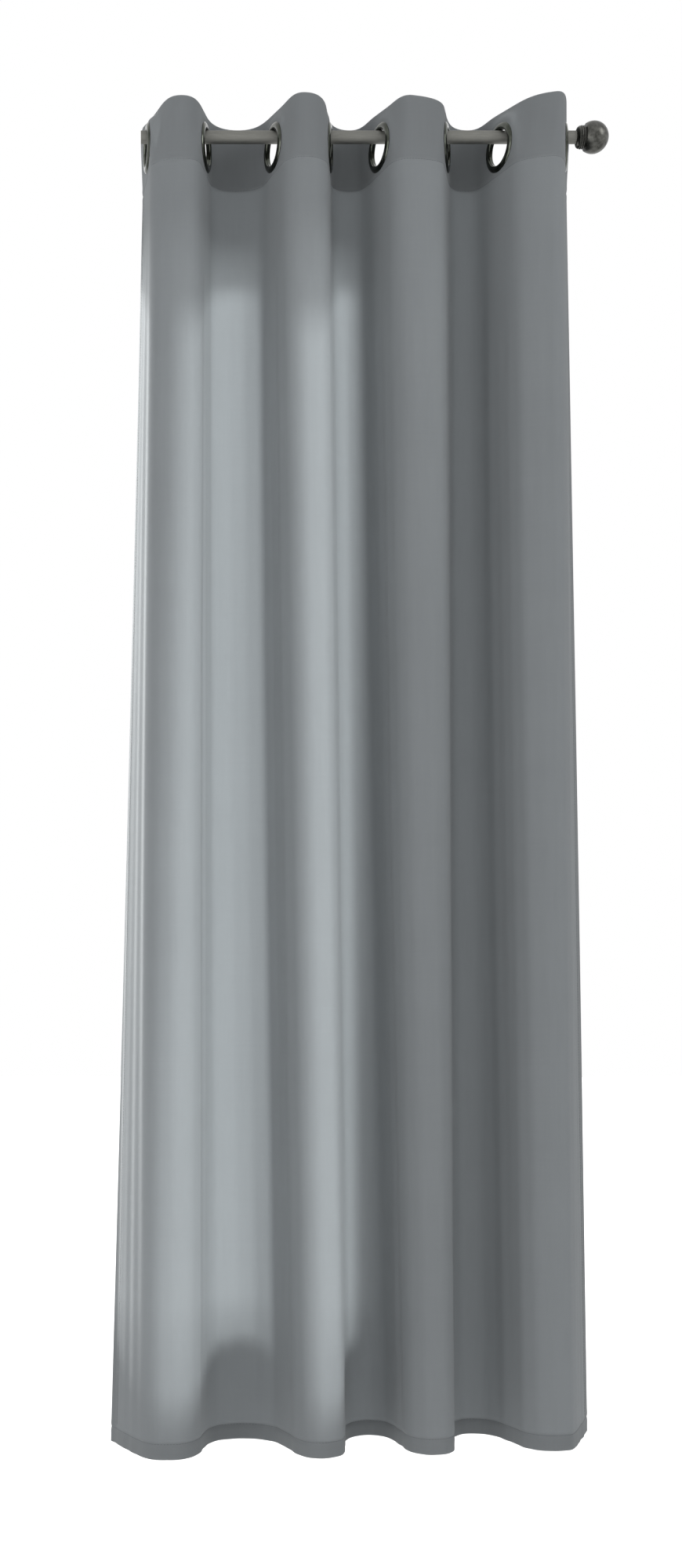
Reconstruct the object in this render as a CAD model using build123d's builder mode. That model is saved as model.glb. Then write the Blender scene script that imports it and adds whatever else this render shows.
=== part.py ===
from build123d import *
from math import cos, radians, sin, sqrt
import os

os.makedirs("parts", exist_ok=True)

# A grommet-top curtain panel hanging on its rod.
# X runs along the rod towards the finial, +Y away from the room, +Z up.
# The origin is on the rod's axis, at the bare stretch that a bracket holds.

# Rod
rod_radius = 10.0
rod_wall = 1.2
rod_left = -691.0
rod_right = 5.7
bore_radius = rod_radius - rod_wall
insert_length = 24.0
insert_radius = 9.1
screw_radius = 3.0
screw_clearance = 0.05
screw_length = 22.0

# Finial
collar_left = 6.0
bead_radius = 17.8
bead_width = 3.0
ball_radius = 24.5
ball_centre = 33.0

# Cloth
panel_length = 2134.0
cloth_top = 40.0
cloth_bottom = cloth_top - panel_length
header_height = 101.6
header_bottom = cloth_top - header_height
hem_height = 25.4
hem_top = cloth_bottom + hem_height
side_hem_width = 25.4
cloth_thickness = 0.8
buckram_thickness = 0.5
layer_gap = 0.1
thread_width = 1.0
thread_depth = 0.3

# Grommets
eye_radius = 27.0
flange_radius = 38.0
shell = 0.8
cloth_gap = 0.3
hole_radius = 28.5
hang = eye_radius - rod_radius - cloth_gap

# The wave: where the cloth crosses the rod's plane, its slope there in degrees from the rod, and how far
# behind the rod that crossing stands. The first grommet hangs back on the rod, pulled by the loose side edge.
# Each crossing is a straight flank; each crest is a short flat between two rounded corners.
# Past the outer flanks the cloth turns a little, and the side hems then run flat at one slope all the way down.
flank_half = 38.0
edge_turn = 3.8
edge_slope = (82.0, 71.0)
ring_x = [-680.0, -587.0, -479.0, -389.0, -309.0, -202.0, -117.0, -13.0]
ring_slope = [84.0, 78.0, 74.0, 81.0, 72.5, 75.5, 69.0, 80.0]
ring_back = [10.0] + [0.0] * 7
ring_crest = 57.0
hem_x = [-712.0, -592.0, -458.0, -364.0, -275.0, -190.0, -94.0, 14.0]
hem_slope = [66.0, 74.0, 70.0, 78.0, 74.0, 78.0, 72.0, 68.0]
hem_back = [0.0] * 8
hem_crest = 60.0

# Layers through the cloth, measured from its middle surface, positive towards the window
cloth = (-cloth_thickness / 2, cloth_thickness / 2)
buckram = (cloth[1] + layer_gap, cloth[1] + layer_gap + buckram_thickness)
facing = (buckram[1] + layer_gap, buckram[1] + layer_gap + cloth_thickness)
hem = (cloth[1] + layer_gap, cloth[1] + layer_gap + cloth_thickness)
thread = (cloth[0] - thread_depth - 0.05, cloth[0] - 0.05)


def along(i, slope):
    # Direction of the cloth at crossing i, from left to right; odd crossings run towards the window.
    return Vector(cos(radians(slope)), sin(radians(slope)) * (1 if i % 2 else -1))


def across(direction):
    # The cloth's own normal, on the window side.
    return Vector(-direction.Y, direction.X)


def wave(xs, backs, slopes, crest):
    # Ends of every flank and flat from left to right, each with the cloth's normal there.
    ends = []
    for i, (x, back) in enumerate(zip(xs, backs)):
        way, slope = along(i, slopes[i]), radians(slopes[i])
        for side in (-1, 1):
            to_room = 1 if (side > 0) != (i % 2 > 0) else -1
            rise = crest - flank_half * sin(slope) + back * to_room
            corner = Vector(side * rise * sin(slope) / (1 - cos(slope)), -rise * to_room)
            end = Vector(x, back) + way * side * flank_half
            run = [(end, across(way))]
            if (i, side) in ((0, -1), (len(xs) - 1, 1)):
                edge_way = along(i, edge_slope[side > 0])
                turned = end + (way + edge_way) * side * edge_turn
                run.append((turned, across(edge_way)))
                run.append((turned + edge_way * side * side_hem_width, across(edge_way)))
            else:
                run.append((end + corner, Vector(0, 1)))
            ends.extend(run[::side])
    return ends


heading = wave(ring_x, ring_back, ring_slope, ring_crest)
hemline = wave(hem_x, hem_back, hem_slope, hem_crest)


def wave_at(height):
    # Below the header the wave widens evenly down to the bottom edge.
    f = (header_bottom - height) / (header_bottom - cloth_bottom) if height < header_bottom else 0.0
    return [(p + (q - p) * f, (n + (m - n) * f).normalized()) for (p, n), (q, m) in zip(heading, hemline)]


def ribbon(height, layer):
    # One layer of cloth seen from above: flanks and flats are lines, the corners between them arcs.
    with BuildSketch(Plane.XY.offset(height), mode=Mode.PRIVATE) as section:
        with BuildLine():
            edges = [[p + n * side for p, n in wave_at(height)] for side in layer]
            for side in edges:
                for k in range(len(side) - 1):
                    if k % 2:
                        TangentArc(side[k], side[k + 1], tangent=side[k] - side[k - 1])
                    else:
                        Line(side[k], side[k + 1])
            Line(edges[0][0], edges[1][0])
            Line(edges[0][-1], edges[1][-1])
        make_face()
    return section.sketch


def side_strip(height, right, first, last, layer):
    # A strip of one layer between two distances in from the panel's left or right edge.
    ends = wave_at(height)
    (edge, normal), (inner, _) = (ends[-1], ends[-2]) if right else (ends[0], ends[1])
    way = (inner - edge).normalized()
    near, far = edge + way * first, edge + way * last
    with BuildSketch(Plane.XY.offset(height), mode=Mode.PRIVATE) as section:
        with BuildLine():
            low, high = normal * layer[0], normal * layer[1]
            Polyline(near + low, far + low, far + high, near + high, close=True)
        make_face()
    return section.sketch


def ring_direction(i):
    # The axis of grommet i, pointing to the window side of the cloth.
    normal = across(along(i, ring_slope[i]))
    return Vector(normal.X, normal.Y, 0)


def ring_centre(i):
    # The eye hangs on the rod's top line. One that stands back rests on the rod's side, and its barrel,
    # which crosses the rod at a slant there, takes a little more room.
    aside = ring_back[i] / sin(radians(ring_slope[i]))
    reach = hang - 0.03 * aside
    return Vector(ring_x[i], ring_back[i], -sqrt(reach**2 - aside**2))


def profile_plane(i):
    # Local x is the radius from the grommet's axis, local y runs along that axis.
    normal = ring_direction(i)
    return Plane(origin=ring_centre(i), x_dir=(0, 0, 1), z_dir=(-normal.Y, normal.X, 0))


ring_seats = [Plane(origin=ring_centre(i), z_dir=ring_direction(i)) for i in range(len(ring_x))]

# ---------------------------------------------------------------- rod

with BuildPart() as curtain_rod:
    with BuildSketch(Plane.YZ.offset(rod_left)):
        Circle(rod_radius)
        Circle(bore_radius, mode=Mode.SUBTRACT)
    extrude(amount=rod_right - rod_left)
    with BuildSketch(Plane.YZ.offset(rod_right - insert_length)):
        Circle(insert_radius)
    extrude(amount=insert_length, mode=Mode.SUBTRACT)
    chamfer(curtain_rod.edges().filter_by(GeomType.CIRCLE).filter_by(lambda e: e.radius > 9.5), 0.3)
curtain_rod.part.label = "curtain_rod"
export_step(curtain_rod.part, "parts/curtain_rod.step")

# Threaded insert pressed into the counterbored finial end of the tube
with BuildPart() as rod_insert:
    with BuildSketch(Plane.YZ.offset(rod_right - insert_length)):
        Circle(insert_radius)
        Circle(screw_radius + screw_clearance, mode=Mode.SUBTRACT)
    extrude(amount=insert_length)
rod_insert.part.label = "rod_insert"
export_step(rod_insert.part, "parts/rod_insert.step")

# ---------------------------------------------------------------- finial

# Collar: a rounded cap against the rod's end, then two half-round beads
with BuildPart() as finial_collar:
    with BuildSketch(Plane.XZ):
        with BuildLine():
            c, groove = collar_left, bead_radius - bead_width / 2
            Line((c, screw_radius), (c, 11.0))
            ThreePointArc((c, 11.0), (c + 1.5, 15.4), (c + 5.0, 17.2))
            Line((c + 5.0, 17.2), (c + 5.4, groove))
            first, second = c + 5.8, c + 9.2
            Line((c + 5.4, groove), (first, groove))
            ThreePointArc((first, groove), (first + bead_width / 2, bead_radius), (first + bead_width, groove))
            Line((first + bead_width, groove), (second, groove))
            ThreePointArc((second, groove), (second + bead_width / 2, bead_radius), (second + bead_width, groove))
            Line((second + bead_width, groove), (c + 12.8, 15.4))
            Line((c + 12.8, 15.4), (c + 14.0, 15.4))
            Line((c + 14.0, 15.4), (c + 14.0, screw_radius))
            Line((c + 14.0, screw_radius), (c, screw_radius))
        make_face()
    revolve(axis=Axis.X)
finial_collar.part.label = "finial_collar"
export_step(finial_collar.part, "parts/finial_collar.step")

# Ball: turned, with a flat neck that seats on the collar
with BuildPart() as finial_ball:
    with Locations((ball_centre, 0, 0)):
        Sphere(ball_radius)
    with Locations((collar_left + 14.0, 0, 0)):
        Box(60, 60, 60, align=(Align.MAX, Align.CENTER, Align.CENTER), mode=Mode.SUBTRACT)
    with Locations(Plane.YZ.offset(collar_left + 13.0)):
        Cylinder(screw_radius, 11, align=(Align.CENTER, Align.CENTER, Align.MIN), mode=Mode.SUBTRACT)
finial_ball.part.label = "finial_ball"
export_step(finial_ball.part, "parts/finial_ball.step")

# Screw: fixed in the ball, turns in the rod's insert
with BuildPart() as finial_screw:
    with BuildSketch(Plane.YZ.offset(rod_right - screw_length)):
        Circle(screw_radius)
    extrude(amount=collar_left + 24.0 - rod_right + screw_length)
    chamfer(finial_screw.edges().sort_by(Axis.X)[0], 0.6)
finial_screw.part.label = "finial_screw"
export_step(finial_screw.part, "parts/finial_screw.step")

# ---------------------------------------------------------------- cloth

# The panel itself, with a hole for each grommet
with BuildPart() as curtain_panel:
    loft([ribbon(cloth_bottom, cloth), ribbon(header_bottom, cloth)], ruled=True)
    extrude(ribbon(header_bottom, cloth), amount=header_height)
    with Locations(*ring_seats):
        Cylinder(hole_radius, 10, mode=Mode.SUBTRACT)
curtain_panel.part.label = "curtain_panel"
export_step(curtain_panel.part, "parts/curtain_panel.step")

# Stiffening inside the header
with BuildPart() as header_buckram:
    extrude(ribbon(header_bottom, buckram), amount=header_height - 1.0)
    with Locations(*ring_seats):
        Cylinder(hole_radius, 10, mode=Mode.SUBTRACT)
header_buckram.part.label = "header_buckram"
export_step(header_buckram.part, "parts/header_buckram.step")

# Cloth turned down behind the header
with BuildPart() as header_facing:
    extrude(ribbon(header_bottom, facing), amount=header_height)
    with Locations(*ring_seats):
        Cylinder(hole_radius, 10, mode=Mode.SUBTRACT)
header_facing.part.label = "header_facing"
export_step(header_facing.part, "parts/header_facing.step")

# Cloth turned up behind the bottom edge
with BuildPart() as bottom_hem:
    loft([ribbon(cloth_bottom, hem), ribbon(hem_top, hem)], ruled=True)
bottom_hem.part.label = "bottom_hem"
export_step(bottom_hem.part, "parts/bottom_hem.step")

# Cloth turned in behind each side edge, and the thread that holds it
for name, right in (("left", False), ("right", True)):
    with BuildPart() as side_hem:
        heights = (hem_top + 0.5, header_bottom - 0.5)
        loft([side_strip(h, right, 0, side_hem_width, hem) for h in heights], ruled=True)
    side_hem.part.label = f"side_hem_{name}"
    export_step(side_hem.part, f"parts/side_hem_{name}.step")

    with BuildPart() as side_thread:
        seam = side_hem_width - 3.0
        heights = (hem_top + 3.0, header_bottom - 3.0)
        loft([side_strip(h, right, seam, seam + thread_width, thread) for h in heights], ruled=True)
    side_thread.part.label = f"side_thread_{name}"
    export_step(side_thread.part, f"parts/side_thread_{name}.step")

# Lines of thread across the panel, under the header and above the bottom edge
for name, height in (("header_thread", header_bottom + 2.0), ("hem_thread", hem_top - 2.0)):
    with BuildPart() as seam_thread:
        extrude(ribbon(height - thread_width / 2, thread), amount=thread_width)
    seam_thread.part.label = name
    export_step(seam_thread.part, f"parts/{name}.step")

# ---------------------------------------------------------------- grommets

front_face = cloth[0] - cloth_gap
back_face = facing[1] + cloth_gap
lip = back_face + 1.3

for i in range(len(ring_x)):
    axis = Axis(ring_centre(i), ring_direction(i))

    # Domed flange on the room side, its barrel through the cloth, and the barrel's turned lip
    with BuildPart() as front:
        with BuildSketch(profile_plane(i)):
            with BuildLine():
                crown = front_face - 3.4
                ThreePointArc((flange_radius, front_face - 0.4), (34.2, crown + 0.3), (30.0, crown + 0.1))
                ThreePointArc((30.0, crown + 0.1), (27.7, crown + 1.2), (eye_radius, crown + 2.8))
                Line((eye_radius, crown + 2.8), (eye_radius, lip))
                Line((eye_radius, lip), (eye_radius + 0.5, lip + 0.7))
                Line((eye_radius + 0.5, lip + 0.7), (29.8, lip + 0.7))
                Line((29.8, lip + 0.7), (29.8, lip))
                Line((29.8, lip), (eye_radius + shell, lip))
                Line((eye_radius + shell, lip), (eye_radius + shell, crown + 2.8))
                ThreePointArc((eye_radius + shell, crown + 2.8), (28.4, crown + 1.7), (30.2, crown + 0.9))
                ThreePointArc((30.2, crown + 0.9), (34.0, crown + 1.1), (flange_radius - shell, front_face))
                Line((flange_radius - shell, front_face), (flange_radius, front_face))
                Line((flange_radius, front_face), (flange_radius, front_face - 0.4))
            make_face()
        revolve(axis=axis)
    front.part.label = f"grommet_{i + 1}_front"
    export_step(front.part, f"parts/grommet_{i + 1}_front.step")

    # Washer on the window side, held under the lip
    with BuildPart() as back:
        with BuildSketch(profile_plane(i)):
            with BuildLine():
                Line((eye_radius + shell + 0.2, back_face), (eye_radius + shell + 0.2, lip - 0.05))
                Line((eye_radius + shell + 0.2, lip - 0.05), (30.2, lip - 0.05))
                ThreePointArc((30.2, lip - 0.05), (34.5, lip + 0.4), (flange_radius, back_face + 0.4))
                Line((flange_radius, back_face + 0.4), (flange_radius, back_face))
                Line((flange_radius, back_face), (flange_radius - shell, back_face))
                ThreePointArc((flange_radius - shell, back_face), (34.0, lip - 0.5), (30.6, back_face))
                Line((30.6, back_face), (eye_radius + shell + 0.2, back_face))
            make_face()
        revolve(axis=axis)
    back.part.label = f"grommet_{i + 1}_back"
    export_step(back.part, f"parts/grommet_{i + 1}_back.step")
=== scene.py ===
import bpy
import math
import numpy as np
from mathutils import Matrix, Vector


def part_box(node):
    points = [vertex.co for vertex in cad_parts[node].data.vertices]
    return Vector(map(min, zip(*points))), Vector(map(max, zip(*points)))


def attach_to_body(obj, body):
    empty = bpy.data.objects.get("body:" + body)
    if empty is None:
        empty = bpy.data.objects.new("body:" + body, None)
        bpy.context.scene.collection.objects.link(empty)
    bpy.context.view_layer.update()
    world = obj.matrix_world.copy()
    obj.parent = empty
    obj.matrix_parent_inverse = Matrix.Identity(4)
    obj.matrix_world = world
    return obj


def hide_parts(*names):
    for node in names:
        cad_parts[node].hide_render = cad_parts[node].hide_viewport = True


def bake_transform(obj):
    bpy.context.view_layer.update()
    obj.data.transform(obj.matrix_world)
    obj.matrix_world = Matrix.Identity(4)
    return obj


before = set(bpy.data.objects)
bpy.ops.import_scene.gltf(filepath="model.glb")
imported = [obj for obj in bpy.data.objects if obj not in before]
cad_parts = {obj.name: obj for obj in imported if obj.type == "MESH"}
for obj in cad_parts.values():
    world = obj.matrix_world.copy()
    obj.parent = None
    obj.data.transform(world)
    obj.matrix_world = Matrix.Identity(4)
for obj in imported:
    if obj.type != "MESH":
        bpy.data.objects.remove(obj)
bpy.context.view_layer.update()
scene = bpy.context.scene

# ------------------------------------------------------------------ what the CAD says


def middle(name):
    lo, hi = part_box(name)
    return (lo + hi) / 2


def ring(i):
    """Centre of grommet i's front half, and its axis towards the window."""
    front, back = middle(f"grommet_{i}_front"), middle(f"grommet_{i}_back")
    return front, (back - front).normalized()


SEATS = [ring(i) for i in range(1, 9)]
LAST = len(SEATS)       # number of the right margin's strip; the left margin is strip 0
PANEL_LO, PANEL_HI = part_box("curtain_panel")
HEM_LO, HEM_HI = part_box("bottom_hem")
TOP = PANEL_HI.z
LENGTH = PANEL_HI.z - PANEL_LO.z
HEADER = PANEL_HI.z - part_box("header_facing")[0].z
HEM = HEM_HI.z - HEM_LO.z
FLANGE = (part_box("grommet_1_front")[1].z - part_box("grommet_1_front")[0].z) / 2

# ------------------------------------------------------------------ the cloth's own sizes

CLOTH = 0.0008          # thickness of one layer
BUCKRAM = 0.0005        # thickness of the header's stiffener
LINING = 0.0009         # middle of the cloth to the middle of a turned hem
FACING = 0.0015         # middle of the cloth to the middle of the header's facing
SIDE_HEM = 0.0254       # width of the turned side hems
MARGIN, TURNED = 0.038, 0.033   # outer grommets to the bend of the side edge, and the bend to the edge
HOLE = FLANGE - 0.0065  # radius of the holes, hidden under the flanges
HOLE_REACH = 0.0028     # mesh points this near to the hole's edge are moved onto it
HOLE_DEPTH = 0.02       # points further than this from a grommet's plane belong to another fold
SEAMS = (HEADER - 0.002, LENGTH - HEM + 0.002)  # drop to the header's and the hem's stitch line
STITCH_PITCH, STITCH_LENGTH, STITCH_RADIUS = 0.0045, 0.0030, 0.00028
ON_CLOTH = -CLOTH / 2 - 0.0001  # where the stitches lie, on the room side
SHOULDER_SAG = 0.004    # how far the top edge sinks at the shoulder beside the first grommet
SHOULDER_AT, SHOULDER_REACH, SHOULDER_DROP = 0.012, 0.062, 0.055    # left of the grommet, to each side, down
FREE_LEAST, FREE_BETWEEN = 0.004, 0.06  # drop that follows the loose top edge: above and between rings
FREE_MARGIN = 0.003     # how far above a flange the cloth is already held
HEM_TILT = 0.008        # how much lower the bottom edge hangs at the left, and higher at the right
COLS, SIDE_COLS = 45, 19

# ------------------------------------------------------------------ the wave of the cloth

# crest of each half wave: how far it stands from the rod's plane, how far it leans to the right, its tilt
HEAD_CREST = [(-0.056, 0.010, 0.0), (0.060, 0.0, 0.0), (-0.063, 0.000, 0.0), (0.060, 0.0, 0.0),
              (-0.056, -0.006, 0.10), (0.060, 0.0, 0.0), (-0.065, 0.018, -0.16)]
HEM_CREST = [(-0.066, 0.004, 0.0), (0.064, -0.006, 0.0), (-0.072, 0.002, 0.0), (0.070, 0.004, 0.0),
             (-0.066, 0.004, 0.0), (0.064, -0.006, 0.0), (-0.058, 0.004, 0.0)]
# the top edge stands a little looser than the grommets hold the cloth below it
TOP_SHIFT = [0.008, -0.003, 0.005, -0.004, 0.003, -0.002, 0.007, 0.003]
TOP_SLOPE = [66, 74, 66, 79, 62, 74, 58, 77]
TOP_CREST = [(-0.054, 0.004, 0.0), (0.062, 0.0, 0.0), (-0.063, 0.000, 0.05), (0.062, 0.0, 0.0),
             (-0.054, -0.008, 0.22), (0.062, 0.0, 0.0), (-0.066, 0.020, -0.22)]
# crossings and slopes at the bottom edge, as shares of the CAD hem's width
HEM_AT = [0.0284, 0.1833, 0.3563, 0.4777, 0.5926, 0.7023, 0.8262, 0.9657]
HEM_SLOPE = [66, 74, 72, 84, 80, 84, 70, 68]
# slopes of the left and the right side edge, and how long the flanks stay straight beside a crossing
EDGE_SLOPE = {"head": (84, 70), "foot": (66, 66), "top": (84, 70)}
FLANK = {"head": 0.034, "foot": 0.022, "top": 0.016}


def bezier(p, q, r, s, n):
    t = np.linspace(0, 1, n)[:, None]
    return (1 - t) ** 3 * p + 3 * (1 - t) ** 2 * t * q + 3 * (1 - t) * t**2 * r + t**3 * s


def half_wave(a, way_a, b, way_b, crest, lean, tilt, flank, soft=0.58):
    """Points from crossing a to crossing b over one crest: flat flanks, then one smooth round crest."""
    pa, pb = a + way_a * flank, b - way_b * flank
    top = np.array([(a[0] + b[0]) / 2 + lean, crest])
    level = np.array([math.cos(tilt), math.sin(tilt)])
    left, right = abs(crest - pa[1]), abs(crest - pb[1])
    first = bezier(pa, pa + way_a * left * soft, top - level * (top[0] - pa[0]) * soft, top, 40)
    second = bezier(top, top + level * (pb[0] - top[0]) * soft, pb - way_b * right * soft, pb, 40)
    return np.vstack([a[None], first, second[1:], b[None]])


def bend(a, b, c, round_off=0.3):
    """A line from a to c that turns smoothly near b."""
    p, q = b + (a - b) * round_off, b + (c - b) * round_off
    return np.vstack([a[None], bezier(p, (p + 2 * b) / 3, (q + 2 * b) / 3, q, 12), c[None]])


def even(points, n):
    """n points evenly spaced along a line of points, and the line's length."""
    run = np.concatenate([[0], np.cumsum(np.linalg.norm(np.diff(points, axis=0), axis=1))])
    at = np.linspace(0, run[-1], n)
    return np.stack([np.interp(at, run, points[:, k]) for k in (0, 1)], 1), run[-1]


def way(axis):
    """Along the cloth, left to right, where its normal towards the window is axis."""
    return np.array([axis.y, -axis.x])


def slope(i, degrees):
    """Along the cloth at crossing i: towards the room at even crossings, towards the window at odd ones."""
    a = math.radians(degrees)
    return np.array([math.cos(a), math.sin(a) * (1 if i % 2 else -1)])


def strips(level, at, ways, crests):
    """The cloth's line at one level: the left margin, a half wave between each pair, the right margin."""
    left, right = slope(0, EDGE_SLOPE[level][0]), slope(LAST - 1, EDGE_SLOPE[level][1])
    turn_a, turn_b = at[0] - ways[0] * MARGIN, at[-1] + ways[-1] * MARGIN
    out = [even(bend(turn_a - left * TURNED, turn_a, at[0]), SIDE_COLS)]
    for i, (crest, lean, tilt) in enumerate(crests):
        wave = half_wave(at[i], ways[i], at[i + 1], ways[i + 1], crest, lean, tilt, FLANK[level])
        out.append(even(wave, COLS))
    out.append(even(bend(at[-1], turn_b, turn_b + right * TURNED), SIDE_COLS))
    return out


head_at = [np.array([seat.x, seat.y]) for seat, _ in SEATS]
head_way = [way(axis) for _, axis in SEATS]
top_at = [p + np.array([shift, 0]) for p, shift in zip(head_at, TOP_SHIFT)]
top_way = [slope(i, degrees) for i, degrees in enumerate(TOP_SLOPE)]
hem_at = [np.array([HEM_LO.x + share * (HEM_HI.x - HEM_LO.x), 0.0]) for share in HEM_AT]
hem_way = [slope(i, degrees) for i, degrees in enumerate(HEM_SLOPE)]

HEAD = strips("head", head_at, head_way, HEAD_CREST)
FOOT = strips("foot", hem_at, hem_way, HEM_CREST)
RIM = strips("top", top_at, top_way, TOP_CREST)
WIDTH = [width for _, width in HEAD]
PANEL_WIDTH = sum(WIDTH)


def smooth(t):
    t = np.clip(t, 0, 1)
    return t * t * (3 - 2 * t)


def ripple(s, d):
    """Slight unevenness of hanging cloth, along its width s and down its drop d, in metres."""
    grow = smooth((d - HEADER) / 0.35)
    fine = (
        0.00045 * np.sin(2 * math.pi * s / 0.047 + 1.3 * np.sin(d * 1.9) + 0.4)
        + 0.00035 * np.sin(2 * math.pi * s / 0.029 + 1.7 * np.sin(d * 1.3 + 1.0))
        + 0.0005 * np.sin(2 * math.pi * s / 0.083 - 1.1 * np.sin(d * 2.3 + 2.0) + 1.0)
    )
    return grow * fine


def crease(d):
    """A line of stitches draws the cloth in, and the layers above and below it swell a little."""
    out = np.zeros_like(d)
    for line in SEAMS:
        out += 0.0006 * np.exp(-(((d - line) / 0.0022) ** 2))
        out -= 0.0003 * np.exp(-(((np.abs(d - line) - 0.007) / 0.004) ** 2))
    return out


def loose(k, share, d):
    """How far the cloth follows the looser top edge: all of it at the edge, none beside a flange."""
    gap = np.full(np.shape(share), 0.5)
    for side, i in ((share, k - 1), (1 - share, k)):
        if 0 <= i < LAST:
            gap = np.minimum(gap, side * WIDTH[k])
    left, right = SEATS[max(k - 1, 0)][0].z, SEATS[min(k, LAST - 1)][0].z
    clear = TOP - left - (right - left) * share - np.sqrt(np.clip(FLANGE**2 - gap**2, 0, None))
    clear = np.maximum(clear - FREE_MARGIN, FREE_LEAST) + FREE_BETWEEN * smooth((gap - FLANGE) / 0.02)
    return 1 - smooth(d[:, None] / clear[None, :])


def place(k, cols, d, off):
    """Points of strip k: cols are shares of its width, d drops below the top edge, off towards the window."""
    cols = np.asarray(cols, float)
    n = len(HEAD[k][0])
    at = np.clip(cols, 0, 1) * (n - 1)
    spill = (cols - np.clip(cols, 0, 1)) * WIDTH[k]
    f = np.clip((d - HEADER) / (LENGTH - HEADER), 0, 1)[:, None]
    g = loose(k, at / (n - 1), d)
    shares = ((HEAD[k][0], (1 - f) * (1 - g)), (RIM[k][0], (1 - f) * g), (FOOT[k][0], f))
    grid = np.arange(n)

    def mixed(pick):
        return sum(np.interp(at, grid, pick(curve))[None, :] * share for curve, share in shares)

    x, y = mixed(lambda c: c[:, 0]), mixed(lambda c: c[:, 1])
    tx, ty = mixed(lambda c: np.gradient(c[:, 0])), mixed(lambda c: np.gradient(c[:, 1]))
    size = np.hypot(tx, ty)
    tx, ty = tx / size, ty / size
    s = sum(WIDTH[:k]) + at / (n - 1) * WIDTH[k]
    lift = off[:, None] + ripple(s[None, :], d[:, None]) + crease(d)[:, None]
    x = x + spill[None, :] * tx - ty * lift
    y = y + spill[None, :] * ty + tx * lift
    low = (HEM_TILT - 2 * HEM_TILT * s / PANEL_WIDTH)[None, :] * f
    beside = smooth(1 - np.abs(s - WIDTH[0] + SHOULDER_AT) / SHOULDER_REACH)[None, :]
    sag = SHOULDER_SAG * beside * smooth(1 - d / SHOULDER_DROP)[:, None]
    z = TOP - d[:, None] - low - sag + 0 * x
    return np.stack([x, y, z], 2)


# ------------------------------------------------------------------ mesh helpers

NAMES = ["margin_left"] + [f"{i}_{i + 1}" for i in range(1, LAST)] + ["margin_right"]


def weights(cols):
    """How far each column goes over from the left grommet to the right one: the flanks stay with theirs."""
    return smooth((np.clip(cols, 0, 1) - 0.2) / 0.6)


def attach(obj, k):
    """Makes a piece of strip k move with a body: the left margin with the first grommet, the right margin
    with the curtain; the strips between only have their placement baked into their points.
    """
    if k == 0:
        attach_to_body(obj, "grommet_1")
    elif k == LAST:
        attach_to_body(obj, "curtain")
    else:
        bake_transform(obj)


def mesh_object(name, verts, faces, material, uvs=None, smooth_shading=True):
    mesh = bpy.data.meshes.new(name)
    mesh.from_pydata([tuple(v) for v in verts], [], [tuple(f) for f in faces])
    if uvs is not None:
        layer = mesh.uv_layers.new(name="cloth")
        index = np.zeros(len(mesh.loops), np.int32)
        mesh.loops.foreach_get("vertex_index", index)
        layer.data.foreach_set("uv", np.asarray(uvs, np.float32)[index].ravel())
    if smooth_shading:
        mesh.polygons.foreach_set("use_smooth", np.ones(len(mesh.polygons), bool))
    mesh.materials.append(material)
    obj = bpy.data.objects.new(name, mesh)
    scene.collection.objects.link(obj)
    return obj


def grid_faces(rows, cols, keep=None):
    i = np.arange(rows - 1)[:, None] * cols + np.arange(cols - 1)[None, :]
    quads = np.stack([i, i + cols, i + cols + 1, i + 1], 2).reshape(-1, 4)
    return quads if keep is None else quads[keep.reshape(-1)]


def thicken(obj, thick, rim):
    solid = obj.modifiers.new("thickness", "SOLIDIFY")
    solid.thickness, solid.offset, solid.use_rim = thick, 0, rim


def cut_holes(p, k):
    """Moves the points of strip k near a hole's edge onto it, and says which cells of the grid to keep."""
    keep = None
    for i in {k - 1, k} & set(range(LAST)):
        centre, axis = SEATS[i]
        c, t = np.array([centre.x, centre.y]), head_way[i]
        u = (p[..., :2] - c) @ t
        v = p[..., 2] - centre.z
        far = np.abs((p[..., :2] - c) @ np.array([axis.x, axis.y])) > HOLE_DEPTH
        r = np.hypot(u, v)
        band = (np.abs(r - HOLE) < HOLE_REACH) & ~far
        pull = np.where(band, HOLE / np.maximum(r, 1e-6), 1.0)
        shared = np.abs(u) < 1e-5       # the column that two strips share stays on its line
        du = np.where(shared, 0, u * (pull - 1))
        p[..., 0] += du * t[0]
        p[..., 1] += du * t[1]
        p[..., 2] += v * (pull - 1)
        inside = (np.where(band, HOLE, r) < HOLE - 1e-4) & ~far
        cell = inside[:-1, :-1] | inside[1:, :-1] | inside[:-1, 1:] | inside[1:, 1:]
        keep = ~cell if keep is None else keep & ~cell
    return keep


def sheet_strip(name, k, d, off, material, cad, thick=CLOTH, holes=False):
    """One layer of strip k as a mesh with its thickness, standing for the CAD node cad."""
    cols = np.linspace(0, 1, SIDE_COLS if k in (0, LAST) else COLS)
    d, off = np.asarray(d, float), np.asarray(off, float)
    p = place(k, cols, d, off)
    keep = cut_holes(p, k) if holes else None
    rows, n = p.shape[:2]
    s = sum(WIDTH[:k]) + cols * WIDTH[k]
    down = np.broadcast_to(-d[:, None] + off[:, None], (rows, n))
    uv = np.stack([np.broadcast_to(s[None, :], (rows, n)), down], 2)
    faces = grid_faces(rows, n, keep)
    used = np.unique(faces)
    renumber = np.full(rows * n, -1)
    renumber[used] = np.arange(len(used))
    obj = mesh_object(name, p.reshape(-1, 3)[used], renumber[faces], material, uv.reshape(-1, 2)[used])
    thicken(obj, thick, rim=False)
    attach(obj, k)
    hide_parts(cad)
    return obj


# ------------------------------------------------------------------ materials


def new_material(name):
    m = bpy.data.materials.new(name)
    m.use_nodes = True
    m.node_tree.nodes.clear()
    out = m.node_tree.nodes.new("ShaderNodeOutputMaterial")
    return m, m.node_tree, out


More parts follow.
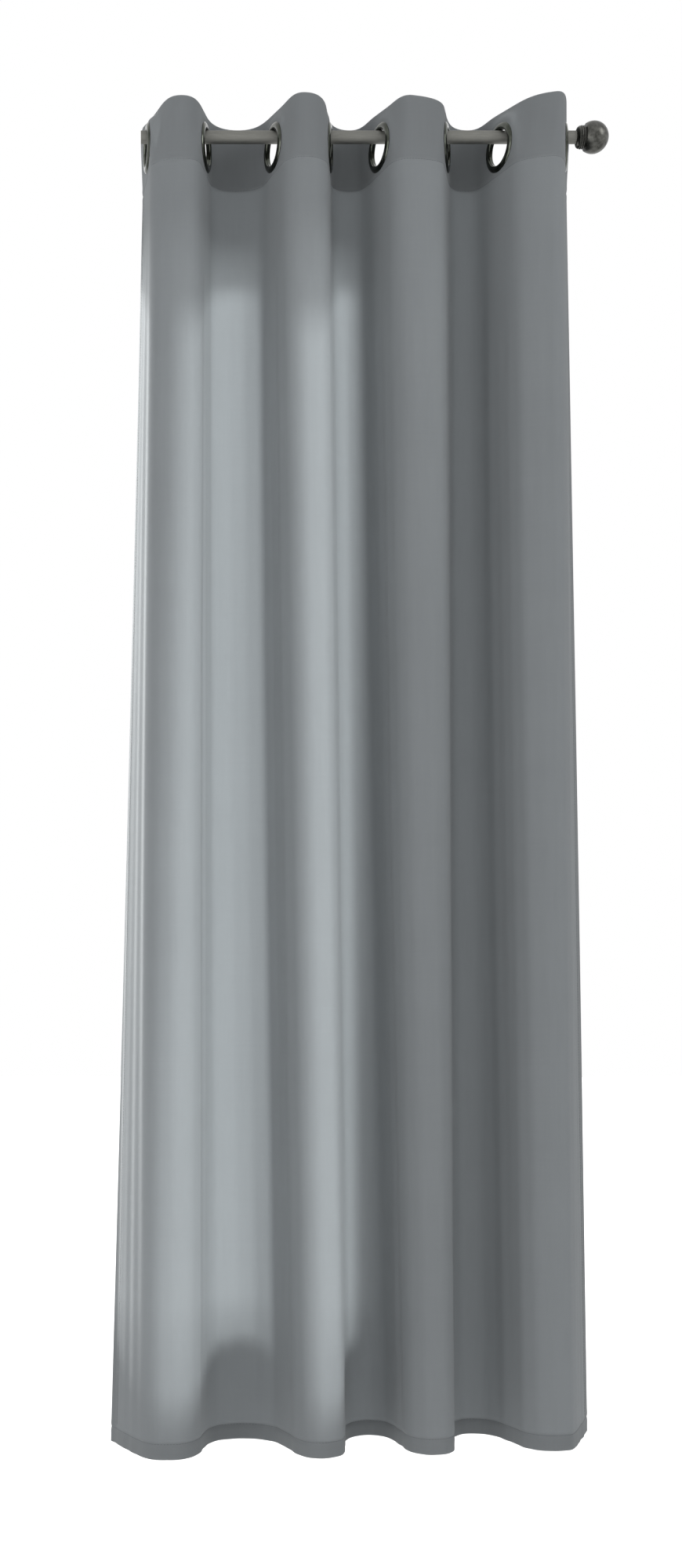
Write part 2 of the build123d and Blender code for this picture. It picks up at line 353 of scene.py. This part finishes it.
def node(tree, kind, inputs=None, **attrs):
    """A new shader node; an input is a plain value, or a pair of another node and its output's number."""
    n = tree.nodes.new(kind)
    for key, value in attrs.items():
        setattr(n, key, value)
    for key, value in (inputs or {}).items():
        if isinstance(value, tuple) and len(value) == 2 and hasattr(value[0], "outputs"):
            tree.links.new(value[0].outputs[value[1]], n.inputs[key])
        else:
            n.inputs[key].default_value = value
    return n


def ramp(tree, source, low, high):
    """A colour ramp between two stops, each a position and a colour."""
    r = node(tree, "ShaderNodeValToRGB", {"Fac": source})
    for element, (position, colour) in zip(r.color_ramp.elements, (low, high)):
        element.position, element.color = position, (*colour, 1)
    return r


def noise(tree, where, scale, detail, roughness):
    inputs = {"Vector": where, "Scale": scale, "Detail": detail, "Roughness": roughness}
    return node(tree, "ShaderNodeTexNoise", inputs)


PASSED = (0.560, 0.585, 0.600)  # colour of the light that comes through the cloth


def fabric(name, dark, light, through=0.0, thread=0.0006):
    """Plain-woven cloth: crossing threads, slubs, slight colour variation, and light passing through."""
    m, t, out = new_material(name)
    uv = node(t, "ShaderNodeUVMap", uv_map="cloth")
    threads = {"Vector": (uv, 0), "Scale": 1 / thread / 20 * 6.283, "Distortion": 0.6, "Detail": 1.0,
               "Detail Scale": 2.0}
    warp = node(t, "ShaderNodeTexWave", threads, bands_direction="X")
    weft = node(t, "ShaderNodeTexWave", threads, bands_direction="Y")
    weave = node(t, "ShaderNodeMath", {0: (warp, 1), 1: (weft, 1)}, operation="MULTIPLY")
    long = node(t, "ShaderNodeMapping", {"Vector": (uv, 0), "Scale": (260.0, 14.0, 1.0)})
    slub = noise(t, (long, 0), 1.0, 3.0, 0.6)
    across = node(t, "ShaderNodeMapping", {"Vector": (uv, 0), "Scale": (10.0, 420.0, 1.0)})
    pick = noise(t, (across, 0), 1.0, 3.0, 0.6)
    cloud = noise(t, (uv, 0), 5.0, 4.0, 0.55)
    mix = node(t, "ShaderNodeMath", {0: (slub, 0), 1: (pick, 0)}, operation="ADD")
    tone = node(t, "ShaderNodeMath", {0: (mix, 0), 1: (cloud, 0)}, operation="ADD")
    share = node(t, "ShaderNodeMapRange", {"Value": (tone, 0), "From Min": 1.0, "From Max": 2.0})
    colour = ramp(t, (share, 0), (0.0, dark), (1.0, light))
    fine = node(t, "ShaderNodeMapRange", {"Value": (weave, 0), "To Min": 0.86, "To Max": 1.06})
    base = node(t, "ShaderNodeVectorMath", {0: (colour, 0), 1: (fine, 0)}, operation="MULTIPLY")
    height = node(t, "ShaderNodeMath", {0: (weave, 0), 1: (mix, 0)}, operation="ADD")
    dent = node(t, "ShaderNodeBump", {"Height": (height, 0), "Strength": 0.25, "Distance": 0.0003})
    cloth = node(t, "ShaderNodeBsdfPrincipled", {"Base Color": (base, 0), "Normal": (dent, 0),
                                                 "Roughness": 0.82, "Specular IOR Level": 0.25,
                                                 "Sheen Weight": 0.12, "Sheen Roughness": 0.5})
    surface = cloth
    if through:
        passed = {0: (fine, 0), 1: PASSED}
        lit = node(t, "ShaderNodeVectorMath", passed, operation="MULTIPLY")
        glow = node(t, "ShaderNodeBsdfTranslucent", {"Color": (lit, 0)})
        surface = node(t, "ShaderNodeMixShader", {0: through, 1: (cloth, 0), 2: (glow, 0)})
    t.links.new(surface.outputs[0], out.inputs[0])
    return m


def metal(name, dark, light, rough, spread, scale, stretch=(1, 1, 1), bump=0.05, metallic=1.0):
    """Mottled or brushed metal, or moulded plastic: colour, gloss and a slight bump from the same noise."""
    m, t, out = new_material(name)
    where = node(t, "ShaderNodeTexCoord")
    squeeze = node(t, "ShaderNodeMapping", {"Vector": (where, "Object"), "Scale": stretch})
    grain = noise(t, (squeeze, 0), scale, 6.0, 0.65)
    colour = ramp(t, (grain, 0), (0.32, dark), (0.68, light))
    gloss = node(t, "ShaderNodeMapRange", {"Value": (grain, 0), "From Min": 0.3, "From Max": 0.7,
                                           "To Min": rough - spread, "To Max": rough + spread})
    dent = node(t, "ShaderNodeBump", {"Height": (grain, 0), "Strength": bump, "Distance": 0.0005})
    body = node(t, "ShaderNodeBsdfPrincipled", {"Base Color": (colour, 0), "Roughness": (gloss, 0),
                                                "Normal": (dent, 0), "Metallic": metallic})
    t.links.new(body.outputs[0], out.inputs[0])
    return m


cloth_mat = fabric("curtain_cloth", (0.204, 0.217, 0.226), (0.234, 0.249, 0.259), through=0.38)
buckram_mat = fabric("buckram", (0.80, 0.80, 0.78), (0.90, 0.90, 0.88), thread=0.0012)
thread_mat = fabric("thread", (0.130, 0.143, 0.150), (0.170, 0.186, 0.195), thread=0.0004)
rod_mat = metal("rod_pewter", (0.170, 0.170, 0.156), (0.235, 0.235, 0.218), 0.60, 0.06, 60, (1, 14, 14), 0.04)
ring_mat = metal("grommet_nickel", (0.034, 0.038, 0.030), (0.090, 0.096, 0.082), 0.15, 0.05, 55, bump=0.03)
finial_mat = metal("finial_pewter", (0.026, 0.026, 0.023), (0.130, 0.130, 0.120), 0.34, 0.07, 85, bump=0.18)
screw_mat = metal("screw_zinc", (0.50, 0.50, 0.50), (0.62, 0.62, 0.60), 0.35, 0.05, 200)
insert_mat = metal("insert_plastic", (0.012, 0.012, 0.012), (0.025, 0.025, 0.025), 0.6, 0.05, 150, bump=0.1,
                   metallic=0.0)

HARD = {"grommet": ring_mat, "curtain_rod": rod_mat, "rod_insert": insert_mat, "finial_screw": screw_mat,
        "finial_collar": finial_mat, "finial_ball": finial_mat}
for name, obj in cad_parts.items():
    for start, material in HARD.items():
        if name.startswith(start):
            for material_slot in obj.material_slots:
                material_slot.material = material

# ------------------------------------------------------------------ the cloth


def drops(parts):
    """Drops below the top edge at which the cloth has a row of points: stretches of (from, to, step)."""
    rows = [np.arange(a, b, step) for a, b, step in parts]
    return np.unique(np.round(np.concatenate(rows + [[LENGTH]]), 5))


ROWS = drops([(0, HEADER - 0.012, 0.004), (HEADER - 0.012, HEADER + 0.010, 0.0011),
              (HEADER + 0.010, SEAMS[1] - 0.012, 0.016), (SEAMS[1] - 0.012, SEAMS[1] + 0.012, 0.0011),
              (SEAMS[1] + 0.012, LENGTH, 0.004)])


def fold_over(gap):
    """A half turn of cloth to a layer lying gap behind: how far it goes past the edge, and how far back."""
    turn = np.linspace(0, math.pi, 7)
    return gap / 2 * np.sin(turn), gap / 2 * (1 - np.cos(turn))


def face_layer(k, part):
    return sheet_strip(f"cloth_{part}", k, ROWS, np.zeros(len(ROWS)), cloth_mat, "curtain_panel",
                       holes=True)


def facing_layer(k, part):
    """Over the top edge and down behind the header."""
    past, back = fold_over(FACING)
    down = np.append(np.arange(0.004, HEADER, 0.004), HEADER)
    off = np.concatenate([back, np.full(len(down), FACING)])
    return sheet_strip(f"facing_{part}", k, np.concatenate([-past, down]), off, cloth_mat,
                       "header_facing", holes=True)


def stiffener_layer(k, part):
    down = np.linspace(0.001, HEADER, 26)
    return sheet_strip(f"buckram_{part}", k, down, np.full(len(down), FACING / 2), buckram_mat,
                       "header_buckram", thick=BUCKRAM, holes=True)


def hem_layer(k, part):
    """Under the bottom edge and up behind."""
    past, back = fold_over(LINING)
    up = np.append(np.arange(0.004, HEM, 0.004), HEM)
    off = np.concatenate([back, np.full(len(up), LINING)])
    return sheet_strip(f"hem_{part}", k, np.concatenate([LENGTH + past, LENGTH - up]), off, cloth_mat,
                       "bottom_hem")


def side_hem_layer(k, side):
    """Round the side edge and back behind, between the header and the bottom hem."""
    past, back = fold_over(LINING)
    along = np.concatenate([-past, np.linspace(0.002, SIDE_HEM, 9)]) / WIDTH[k]
    off = np.concatenate([back, np.full(9, LINING)])
    if side == "right":
        along = 1 - along
    d = ROWS[(ROWS > HEADER) & (ROWS < LENGTH - HEM - 0.0005)]
    columns = [place(k, [a], d, np.full(len(d), o))[:, 0] for a, o in zip(along, off)]
    p = np.stack(columns, 1)
    s = sum(WIDTH[:k]) + along * WIDTH[k]
    uv = np.stack([np.broadcast_to(s, p.shape[:2]), np.broadcast_to(-d[:, None], p.shape[:2])], 2)
    obj = mesh_object(f"side_hem_{side}_cloth", p.reshape(-1, 3), grid_faces(*p.shape[:2]), cloth_mat,
                      uv.reshape(-1, 2))
    thicken(obj, CLOTH, rim=True)
    attach(obj, k)
    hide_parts(f"side_hem_{side}")
    return obj


SIDES = {0: "left", LAST: "right"}
for k, part in enumerate(NAMES):
    cloth = face_layer(k, part)
    sewn_on = [facing_layer(k, part), stiffener_layer(k, part), hem_layer(k, part)]
    if k in SIDES:
        sewn_on.append(side_hem_layer(k, SIDES[k]))

# ------------------------------------------------------------------ stitching


def stitches(name, k, centres, ways, w, cad):
    """A row of short thread stitches, each a tapered six-sided bead lying along its way."""
    rings = [(-0.5, 0.35), (-0.3, 1.0), (0.3, 1.0), (0.5, 0.35)]
    verts, faces, ws = [], [], []
    for j, (c, t) in enumerate(zip(centres, ways)):
        t = t / np.linalg.norm(t)
        side = np.cross(t, [0, 0, 1]) if abs(t[2]) < 0.9 else np.array([1.0, 0, 0])
        side = side / np.linalg.norm(side)
        third = np.cross(t, side)
        base = len(verts)
        for along, wide in rings:
            for a in range(6):
                round_it = side * math.cos(a * math.pi / 3) + third * math.sin(a * math.pi / 3)
                verts.append(c + t * along * STITCH_LENGTH + round_it * STITCH_RADIUS * wide)
                ws.append(w[j])
        for q in range(3):
            for a in range(6):
                b = (a + 1) % 6
                low, high = base + q * 6, base + q * 6 + 6
                faces.append((low + a, low + b, high + b, high + a))
        faces.append(tuple(base + a for a in reversed(range(6))))
        faces.append(tuple(base + 18 + a for a in range(6)))
    uv = np.array([(v[0] + v[1], v[2]) for v in verts])
    obj = mesh_object(name, verts, faces, thread_mat, uv)
    attach(obj, k)
    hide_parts(cad)


def across_stitches(name, k, line, cad):
    """A level row across strip k, on its room side."""
    count = max(4, int(WIDTH[k] / STITCH_PITCH))
    cols = (np.arange(count) + 0.5) / count
    d, off = np.array([line]), np.array([ON_CLOTH])
    before, after = (place(k, np.clip(cols + step, 0, 1), d, off)[0] for step in (-0.01, 0.01))
    stitches(name, k, place(k, cols, d, off)[0], after - before, weights(cols), cad)


def side_stitches(k, side):
    """A row down the inner edge of a side hem."""
    at = (SIDE_HEM - 0.003) / WIDTH[k]
    d = np.arange(HEADER + 0.006, LENGTH - HEM - 0.004, STITCH_PITCH)
    c = place(k, [at if side == "left" else 1 - at], d, np.full(len(d), ON_CLOTH))[:, 0]
    stitches(f"side_stitches_{side}", k, c, np.gradient(c, axis=0), np.zeros(len(d)), f"side_thread_{side}")


for k, part in enumerate(NAMES):
    across_stitches(f"header_stitches_{part}", k, SEAMS[0], "header_thread")
    across_stitches(f"hem_stitches_{part}", k, SEAMS[1], "hem_thread")
    if k in SIDES:
        side_stitches(k, SIDES[k])

# ------------------------------------------------------------------ floor and world


def floor_material():
    m, t, out = new_material("white_floor")
    where = node(t, "ShaderNodeTexCoord")
    speck = node(t, "ShaderNodeTexNoise", {"Vector": (where, "Object"), "Scale": 2.0, "Detail": 4.0})
    tint = ramp(t, (speck, 0), (0.3, (0.93, 0.93, 0.93)), (0.7, (0.97, 0.97, 0.97)))
    face = node(t, "ShaderNodeBsdfPrincipled", {"Base Color": (0.1, 0.1, 0.1, 1), "Roughness": 0.9,
                                                "Emission Color": (tint, 0), "Emission Strength": 0.95})
    t.links.new(face.outputs[0], out.inputs[0])
    return m


FLOOR_GAP = 0.45        # floor below the bottom edge
bpy.ops.mesh.primitive_grid_add(x_subdivisions=4, y_subdivisions=4, size=30,
                                location=(0, 8, PANEL_LO.z - FLOOR_GAP))
floor = bpy.context.object
floor.name = "floor"
floor.data.materials.append(floor_material())
floor.visible_diffuse = floor.visible_transmission = False

world = bpy.data.worlds.new("studio")
scene.world = world
world.use_nodes = True
world.node_tree.nodes["Background"].inputs[0].default_value = (1, 1, 1, 1)
world.node_tree.nodes["Background"].inputs[1].default_value = 1.0

# ------------------------------------------------------------------ light


def shine(obj, direction):
    obj.rotation_mode = "QUATERNION"
    obj.rotation_quaternion = Vector(direction).to_track_quat("-Z", "Y")


def area(name, source, aim, size, tall, power):
    light = bpy.data.lights.new(name, "AREA")
    light.energy, light.shape = power, "RECTANGLE"
    light.size, light.size_y = size, tall
    obj = bpy.data.objects.new(name, light)
    scene.collection.objects.link(obj)
    obj.location = source
    shine(obj, Vector(aim) - Vector(source))
    obj.visible_camera = False


def daylight(name, energy, spread, direction):
    """Light from the window side, spread over an angle in degrees."""
    light = bpy.data.lights.new(name, "SUN")
    light.energy, light.angle, light.color = energy, math.radians(spread), (1.0, 1.0, 0.985)
    obj = bpy.data.objects.new(name, light)
    scene.collection.objects.link(obj)
    obj.location = (-1.0, 1.5, 1.0)
    shine(obj, direction)
    obj.visible_glossy = False


mid_z = (PANEL_LO.z + PANEL_HI.z) / 2
area("key_right", (2.6, -2.0, 1.2), (-0.3, 0, mid_z + 0.4), 1.4, 1.8, 38)
area("fill_left", (-2.8, -2.2, mid_z + 0.4), (-0.4, 0, mid_z), 1.6, 2.6, 30)
daylight("sunlight", 13.5, 14, (0.34, -0.74, -0.55))
daylight("skylight", 12.0, 50, (0.46, -0.80, -0.15))

# The window's opening, behind the left part of the panel. Its edges shape the daylight and are not seen.
WALL_Y, WALL_REACH, WALL_FOOT = 0.16, 3, -5
LEFT_JAMB, RIGHT_JAMB = PANEL_LO.x - 0.25, -0.385
LINTEL, SILL = -0.15, -1.865
wall_mat, t, out = new_material("window_wall")
t.links.new(node(t, "ShaderNodeBsdfDiffuse", {"Color": (0.9, 0.9, 0.9, 1)}).outputs[0], out.inputs[0])
for name, (x0, z0, x1, z1) in {
    "lintel": (-WALL_REACH, LINTEL, WALL_REACH, WALL_REACH),
    "sill": (-WALL_REACH, WALL_FOOT, WALL_REACH, SILL),
    "jamb_left": (-WALL_REACH, SILL, LEFT_JAMB, LINTEL),
    "jamb_right": (RIGHT_JAMB, SILL, WALL_REACH, LINTEL),
}.items():
    corners = [(x0, WALL_Y, z0), (x1, WALL_Y, z0), (x1, WALL_Y, z1), (x0, WALL_Y, z1)]
    wall = mesh_object(name, corners, [(0, 1, 2, 3)], wall_mat, smooth_shading=False)
    wall.visible_camera = wall.visible_diffuse = wall.visible_glossy = wall.visible_transmission = False

# ------------------------------------------------------------------ camera

cam_data = bpy.data.cameras.new("camera")
cam = bpy.data.objects.new("camera", cam_data)
scene.collection.objects.link(cam)
scene.camera = cam
cam.location = (-0.678, -2.8865, -1.374)
cam.rotation_euler = (math.radians(90), 0, 0)
cam_data.sensor_width, cam_data.lens = 36, 41.4
# the view looks level at the panel's lower left, so the rest of the panel is brought in by shifting the lens
cam_data.shift_x, cam_data.shift_y = 0.1225, 0.135
scene.view_settings.view_transform = "Standard"
